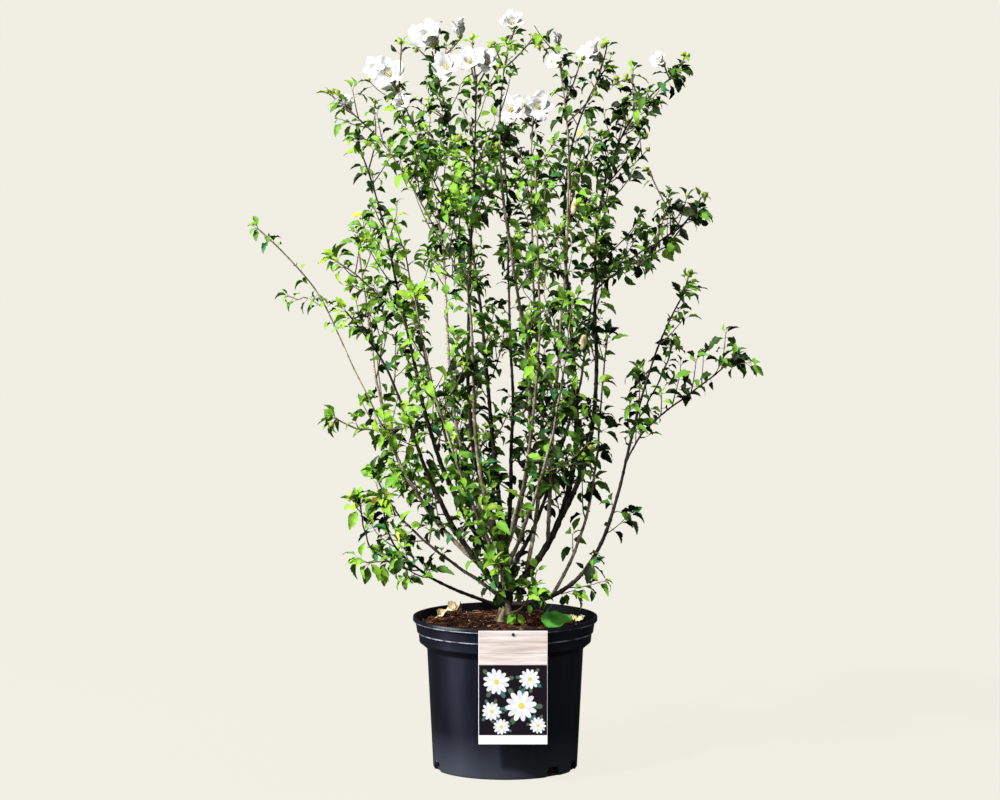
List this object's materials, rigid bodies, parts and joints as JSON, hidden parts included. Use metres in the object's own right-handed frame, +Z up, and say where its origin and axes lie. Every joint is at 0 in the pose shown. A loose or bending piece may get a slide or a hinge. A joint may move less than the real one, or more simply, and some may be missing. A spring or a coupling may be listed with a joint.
{
  "type": "potted rose of sharon shrub",
  "caption": "White-flowered rose of sharon shrub, many upright leafy stems from a short trunk, in a round black nursery pot with a hanging picture card.",
  "frame": {"origin": "middle of the flat underside of the pot", "axes": "+Z up along the pot's axis; the card hangs on the -Y side, which the picture shows; +X is the picture's right"},
  "size_m": [0.9014, 0.6339, 1.3077],
  "materials": {
    "pot_plastic": "semi-gloss black moulded plastic",
    "soil_mix": "loose moist peat and bark chips",
    "label_card": "satin printed plastic card",
    "bark": "matte grey-beige bark",
    "foliage": "satin green leaves with white blossom"
  },
  "bodies": {
    "root": {"bough_back_left": "bark", "bough_back_middle": "bark", "bough_back_right": "bark", "bough_far_left": "bark", "bough_front_left": "bark", "bough_front_middle": "bark", "bough_front_right": "bark", "bough_left_floor": "bark", "bough_left_low": "bark", "bough_left_main": "bark", "bough_left_tall": "bark", "bough_middle_back": "bark", "bough_middle_front": "bark", "bough_middle_left": "bark", "bough_middle_pale": "bark", "bough_right_back": "bark", "bough_right_front": "bark", "bough_right_outer": "bark", "bough_right_short": "bark", "bough_right_thick": "bark", "bough_right_top": "bark", "bough_top_left": "bark", "label_card": "label_card", "mass_back_left": "foliage", "mass_back_middle": "foliage", "mass_back_right": "foliage", "mass_far_left": "foliage", "mass_front_left": "foliage", "mass_front_middle": "foliage", "mass_front_right": "foliage", "mass_left_floor": "foliage", "mass_left_low": "foliage", "mass_left_main": "foliage", "mass_left_tall": "foliage", "mass_low_spray_back": "foliage", "mass_low_spray_front": "foliage", "mass_low_spray_left": "foliage", "mass_middle_back": "foliage", "mass_middle_front": "foliage", "mass_middle_left": "foliage", "mass_middle_pale": "foliage", "mass_right_back": "foliage", "mass_right_front": "foliage", "mass_right_outer": "foliage", "mass_right_short": "foliage", "mass_right_thick": "foliage", "mass_right_top": "foliage", "mass_top_left": "foliage", "pot": "pot_plastic", "soil": "soil_mix", "trunk": "bark"}
  },
  "joints": []
}
